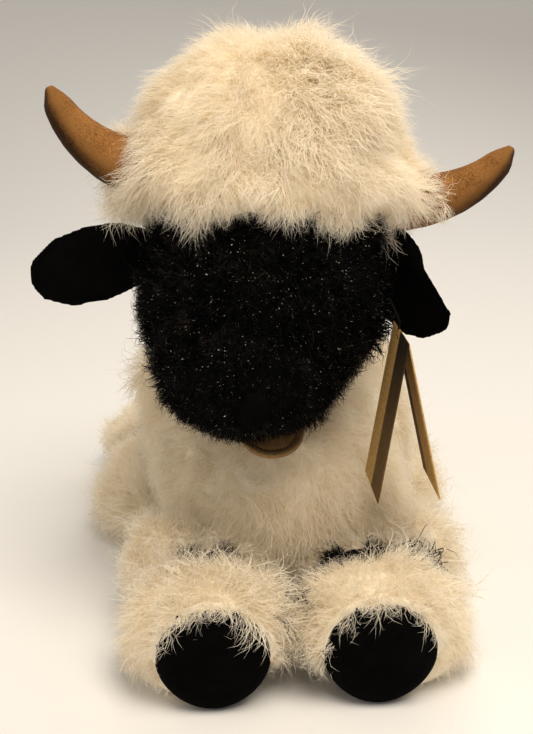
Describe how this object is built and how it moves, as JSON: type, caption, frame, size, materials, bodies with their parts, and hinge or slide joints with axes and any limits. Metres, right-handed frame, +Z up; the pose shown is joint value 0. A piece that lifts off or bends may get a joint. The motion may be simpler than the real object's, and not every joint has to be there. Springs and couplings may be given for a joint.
{
  "type": "plush sheep toy",
  "caption": "Soft plush toy sheep lying on its belly, white shaggy coat, black curly face, velour ears and feet, fleecy crown of hair, short curved horns, folded card tag.",
  "frame": {"origin": "on the floor under the middle of the belly, where the trunk rests", "axes": "+Z up, -Y towards the face and the forefeet, +X towards the toy's left side"},
  "size_m": [0.2348, 0.3196, 0.3026],
  "materials": {
    "fleece": "matte",
    "black_pile": "matte",
    "black_velour": "matte",
    "horn_suede": "matte",
    "eye_gloss": "gloss",
    "badge_leather": "satin",
    "kraft_card": "matte",
    "fastener_plastic": "matte"
  },
  "bodies": {
    "root": {"head_fleece": "fleece", "neck": "fleece", "torso": "fleece", "tail": "fleece", "foreleg_left": "fleece", "foreleg_right": "fleece", "foreleg_cuff_left": "fleece", "foreleg_cuff_right": "fleece", "haunch_left": "fleece", "haunch_right": "fleece", "hindleg_cuff_left": "fleece", "hindleg_cuff_right": "fleece", "head": "black_pile", "knee_left": "black_pile", "knee_right": "black_pile", "hock_left": "black_pile", "hock_right": "black_pile", "ear_left": "black_velour", "ear_right": "black_velour", "nose": "black_velour", "forefoot_left": "black_velour", "forefoot_right": "black_velour", "hindfoot_left": "black_velour", "hindfoot_right": "black_velour", "horn_left": "horn_suede", "horn_right": "horn_suede", "eye_left": "eye_gloss", "eye_right": "eye_gloss", "badge": "badge_leather", "swing_tag_left": "kraft_card", "swing_tag_right": "kraft_card", "tag_fastener": "fastener_plastic"}
  },
  "joints": []
}
